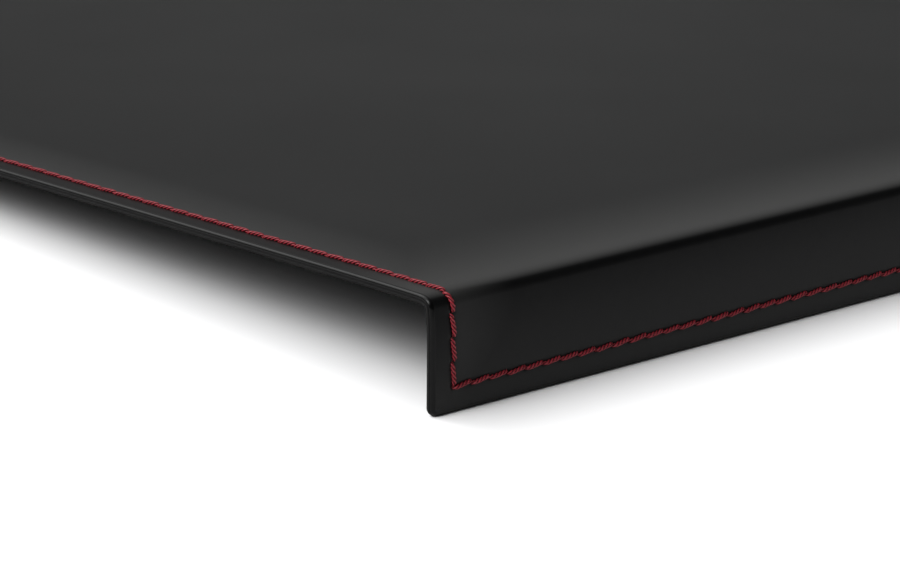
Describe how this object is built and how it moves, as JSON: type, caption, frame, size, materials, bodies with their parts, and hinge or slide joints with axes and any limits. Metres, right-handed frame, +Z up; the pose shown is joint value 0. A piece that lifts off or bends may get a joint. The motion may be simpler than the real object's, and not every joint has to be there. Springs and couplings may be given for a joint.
{
  "type": "desk mat",
  "caption": "Rigid rectangular desk mat: a steel-cored leather panel that folds down into a front lip, with contrast stitching round its edges and non-slip pads beneath.",
  "frame": {"origin": "centre of the middle pad's underside, in the plane of the desk top that the mat lies on", "axes": "+X along the mat's width, +Y from the front lip to the back edge, +Z up out of the writing surface"},
  "size_m": [0.6, 0.4004, 0.0254],
  "materials": {
    "cover_leather": "smooth satin, black",
    "lining": "matt suede, black",
    "steel": "mill",
    "leatherboard": "raw, edges painted black",
    "thread": "waxed, twisted",
    "silicone": "matt"
  },
  "bodies": {
    "root": {"cover_leather": "cover_leather", "steel_core": "steel", "base_lining": "lining", "filler_left": "leatherboard", "filler_right": "leatherboard", "filler_rear": "leatherboard", "filler_lip": "leatherboard", "needle_thread": "thread", "bobbin_thread": "thread", "pad_front_left": "silicone", "pad_front_centre": "silicone", "pad_front_right": "silicone", "pad_middle_left": "silicone", "pad_middle_centre": "silicone", "pad_middle_right": "silicone", "pad_rear_left": "silicone", "pad_rear_centre": "silicone", "pad_rear_right": "silicone"}
  },
  "joints": []
}
